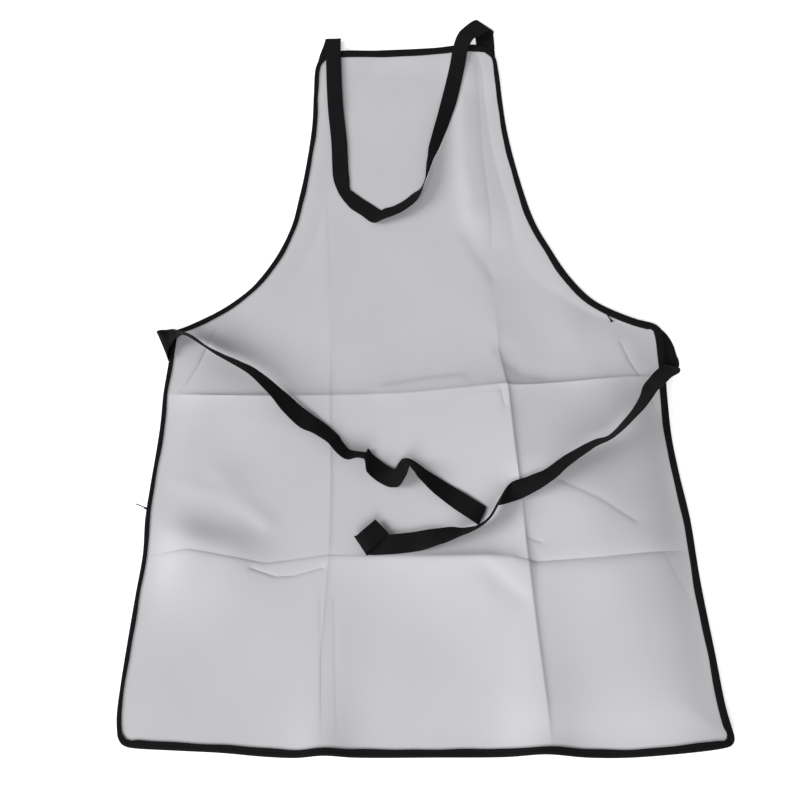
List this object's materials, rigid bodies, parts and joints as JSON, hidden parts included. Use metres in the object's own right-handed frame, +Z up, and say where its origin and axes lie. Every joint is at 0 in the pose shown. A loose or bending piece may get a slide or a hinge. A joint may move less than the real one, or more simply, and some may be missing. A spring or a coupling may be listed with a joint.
{
  "type": "cut-resistant bib apron",
  "caption": "Bib apron of folded grey coated cloth lying face up, edged with black tape, with a webbing neck strap and waist ties laid loosely on its front.",
  "frame": {"origin": "on the surface that the apron lies on, under the middle of its box", "axes": "+Z up from the surface, +Y from the hem towards the top of the bib, +X to the right as seen from above with the bib at the top"},
  "size_m": [0.6168, 0.9768, 0.0552],
  "materials": {
    "coated_cloth": "light grey coated cloth with a faint fine weave, matte to satin",
    "binding_tape": "black woven edge tape, matte",
    "webbing": "black woven webbing, matte, fine ribs across"
  },
  "bodies": {
    "root": {"panel": "coated_cloth", "binding_hem": "binding_tape", "binding_side_left": "binding_tape", "binding_side_right": "binding_tape", "binding_armhole_left": "binding_tape", "binding_armhole_right": "binding_tape", "binding_top": "binding_tape", "neck_strap": "webbing", "waist_tie_left": "webbing", "waist_tie_right": "webbing"}
  },
  "joints": []
}
